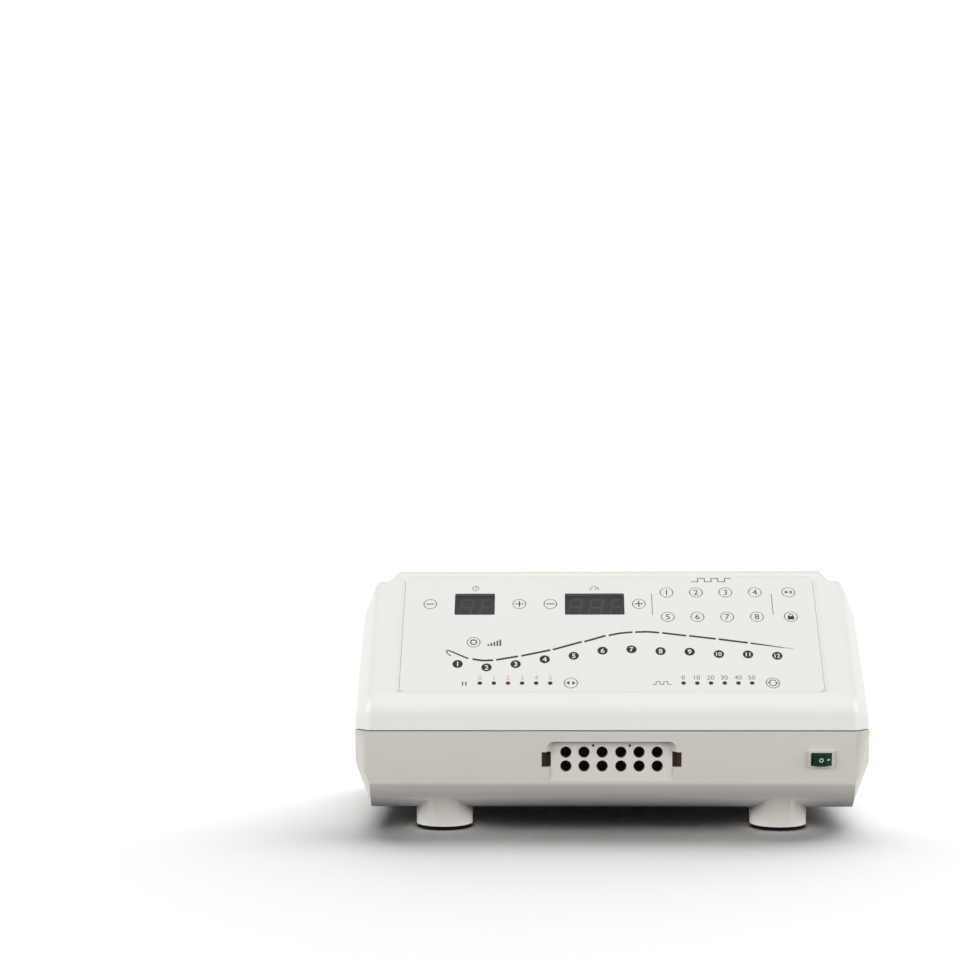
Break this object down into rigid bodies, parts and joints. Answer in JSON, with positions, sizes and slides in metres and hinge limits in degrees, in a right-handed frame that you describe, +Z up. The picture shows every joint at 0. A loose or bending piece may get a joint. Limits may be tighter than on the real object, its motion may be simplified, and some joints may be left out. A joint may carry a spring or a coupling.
{
  "type": "compression therapy pump",
  "caption": "Desktop compression therapy pump: pale casing with a sloping key panel, digital displays, a recessed hose socket, a green rocker switch and round rubber-padded feet.",
  "frame": {"origin": "under the middle of the unit's bounding box, on the surface that it stands on", "axes": "+X runs to the right along the length, +Y to the rear, +Z up; the sloping panel and the hose socket face -Y"},
  "size_m": [0.44, 0.2952, 0.2176],
  "materials": {
    "upper_casing": "fine satin off-white moulded plastic",
    "lower_casing": "fine satin warm light grey moulded plastic",
    "air_socket": "satin warm grey moulded plastic",
    "panel_overlay": "smooth satin printed overlay on a rigid backing",
    "keys": "smooth satin, printed",
    "window": "smoked, polished",
    "digit_block": "black block with pale segments",
    "number_lens": "black round lenses with light numerals",
    "step_lens": "small smoked lenses",
    "circuit_board": "green solder resist on fibre board",
    "switch_bezel": "pale beige, satin",
    "rocker": "dark green, smooth",
    "foot_rubber": "black, matt",
    "screw_steel": "zinc plated",
    "inlet_black": "black, satin",
    "contact_brass": "plain",
    "core_steel": "varnished laminations",
    "winding": "enamelled copper wire",
    "cast_aluminium": "cast, plain",
    "plated_steel": "zinc plated",
    "rail_rubber": "soft, matt",
    "rotor_plastic": "natural, low friction",
    "clear_tube": "clear soft tube, greyish",
    "hose_rubber": "smooth, matt",
    "filter_felt": "pale felt"
  },
  "bodies": {
    "casing": {"air_socket": "air_socket", "casing_screw_front_left": "screw_steel", "casing_screw_front_right": "screw_steel", "casing_screw_rear_left": "screw_steel", "casing_screw_rear_right": "screw_steel", "compressor_body": "cast_aluminium", "compressor_coil": "winding", "compressor_lid": "cast_aluminium", "compressor_rail_front": "rail_rubber", "compressor_rail_rear": "rail_rubber", "control_panel": "panel_overlay", "display_board": "circuit_board", "distributor_body": "cast_aluminium", "distributor_motor": "plated_steel", "foot_front_left": "foot_rubber", "foot_front_right": "foot_rubber", "foot_rear_left": "foot_rubber", "foot_rear_right": "foot_rubber", "hold_lights": "step_lens", "inlet_pin_earth": "contact_brass", "inlet_pin_live": "contact_brass", "inlet_pin_neutral": "contact_brass", "intake_filter": "filter_felt", "interval_lights": "step_lens", "lower_casing": "lower_casing", "lower_tubes": "clear_tube", "main_board": "circuit_board", "mains_inlet": "inlet_black", "number_lights": "number_lens", "power_switch_body": "switch_bezel", "pressure_digits": "digit_block", "pressure_window": "window", "supply_hose": "hose_rubber", "time_digits": "digit_block", "time_window": "window", "transformer_core": "core_steel", "transformer_winding": "winding", "upper_casing": "upper_casing", "upper_tubes": "clear_tube"},
    "key_time_down": {"key_time_down": "keys"},
    "key_time_up": {"key_time_up": "keys"},
    "key_pressure_down": {"key_pressure_down": "keys"},
    "key_pressure_up": {"key_pressure_up": "keys"},
    "key_settings": {"key_settings": "keys"},
    "key_hold_time": {"key_hold_time": "keys"},
    "key_interval": {"key_interval": "keys"},
    "key_start": {"key_start": "keys"},
    "key_lock": {"key_lock": "keys"},
    "key_program_a": {"key_program_a": "keys"},
    "key_program_b": {"key_program_b": "keys"},
    "key_program_c": {"key_program_c": "keys"},
    "key_program_d": {"key_program_d": "keys"},
    "key_program_e": {"key_program_e": "keys"},
    "key_program_f": {"key_program_f": "keys"},
    "key_program_g": {"key_program_g": "keys"},
    "key_program_h": {"key_program_h": "keys"},
    "power_rocker": {"power_rocker": "rocker"},
    "fuse_drawer": {"fuse_drawer": "inlet_black"},
    "compressor_armature": {"compressor_armature": "plated_steel"},
    "distributor_rotor": {"distributor_rotor": "rotor_plastic"}
  },
  "joints": [
    {"name": "press_time_down", "type": "slide", "parent": "casing", "child": "key_time_down", "axis": [0, 0.6947, -0.7193], "range_m": [0, 0.0006], "stiffness_N_per_m": 1000, "springref_m": -0.0005},
    {"name": "press_time_up", "type": "slide", "parent": "casing", "child": "key_time_up", "axis": [0, 0.6947, -0.7193], "range_m": [0, 0.0006], "stiffness_N_per_m": 1000, "springref_m": -0.0005},
    {"name": "press_pressure_down", "type": "slide", "parent": "casing", "child": "key_pressure_down", "axis": [0, 0.6947, -0.7193], "range_m": [0, 0.0006], "stiffness_N_per_m": 1000, "springref_m": -0.0005},
    {"name": "press_pressure_up", "type": "slide", "parent": "casing", "child": "key_pressure_up", "axis": [0, 0.6947, -0.7193], "range_m": [0, 0.0006], "stiffness_N_per_m": 1000, "springref_m": -0.0005},
    {"name": "press_settings", "type": "slide", "parent": "casing", "child": "key_settings", "axis": [0, 0.6947, -0.7193], "range_m": [0, 0.0006], "stiffness_N_per_m": 1000, "springref_m": -0.0005},
    {"name": "press_hold_time", "type": "slide", "parent": "casing", "child": "key_hold_time", "axis": [0, 0.6947, -0.7193], "range_m": [0, 0.0006], "stiffness_N_per_m": 1000, "springref_m": -0.0005},
    {"name": "press_interval", "type": "slide", "parent": "casing", "child": "key_interval", "axis": [0, 0.6947, -0.7193], "range_m": [0, 0.0006], "stiffness_N_per_m": 1000, "springref_m": -0.0005},
    {"name": "press_start", "type": "slide", "parent": "casing", "child": "key_start", "axis": [0, 0.6947, -0.7193], "range_m": [0, 0.0006], "stiffness_N_per_m": 1000, "springref_m": -0.0005},
    {"name": "press_lock", "type": "slide", "parent": "casing", "child": "key_lock", "axis": [0, 0.6947, -0.7193], "range_m": [0, 0.0006], "stiffness_N_per_m": 1000, "springref_m": -0.0005},
    {"name": "press_program_a", "type": "slide", "parent": "casing", "child": "key_program_a", "axis": [0, 0.6947, -0.7193], "range_m": [0, 0.0006], "stiffness_N_per_m": 1000, "springref_m": -0.0005},
    {"name": "press_program_b", "type": "slide", "parent": "casing", "child": "key_program_b", "axis": [0, 0.6947, -0.7193], "range_m": [0, 0.0006], "stiffness_N_per_m": 1000, "springref_m": -0.0005},
    {"name": "press_program_c", "type": "slide", "parent": "casing", "child": "key_program_c", "axis": [0, 0.6947, -0.7193], "range_m": [0, 0.0006], "stiffness_N_per_m": 1000, "springref_m": -0.0005},
    {"name": "press_program_d", "type": "slide", "parent": "casing", "child": "key_program_d", "axis": [0, 0.6947, -0.7193], "range_m": [0, 0.0006], "stiffness_N_per_m": 1000, "springref_m": -0.0005},
    {"name": "press_program_e", "type": "slide", "parent": "casing", "child": "key_program_e", "axis": [0, 0.6947, -0.7193], "range_m": [0, 0.0006], "stiffness_N_per_m": 1000, "springref_m": -0.0005},
    {"name": "press_program_f", "type": "slide", "parent": "casing", "child": "key_program_f", "axis": [0, 0.6947, -0.7193], "range_m": [0, 0.0006], "stiffness_N_per_m": 1000, "springref_m": -0.0005},
    {"name": "press_program_g", "type": "slide", "parent": "casing", "child": "key_program_g", "axis": [0, 0.6947, -0.7193], "range_m": [0, 0.0006], "stiffness_N_per_m": 1000, "springref_m": -0.0005},
    {"name": "press_program_h", "type": "slide", "parent": "casing", "child": "key_program_h", "axis": [0, 0.6947, -0.7193], "range_m": [0, 0.0006], "stiffness_N_per_m": 1000, "springref_m": -0.0005},
    {"name": "power_rocker_tilt", "type": "hinge", "parent": "casing", "child": "power_rocker", "pos_m": [0.178, -0.13961, 0.0641], "axis": [0, -0.1668, 0.986], "range_deg": [-16, 0]},
    {"name": "fuse_drawer_slide", "type": "slide", "parent": "casing", "child": "fuse_drawer", "axis": [0, 1, 0], "range_m": [0, 0.014]},
    {"name": "armature_slide", "type": "slide", "parent": "casing", "child": "compressor_armature", "axis": [1, 0, 0], "range_m": [-0.0015, 0.0015], "stiffness_N_per_m": 2000},
    {"name": "distributor_turn", "type": "hinge", "parent": "casing", "child": "distributor_rotor", "pos_m": [0, -0.07008, 0.083], "axis": [0, 0, 1], "continuous": true}
  ]
}
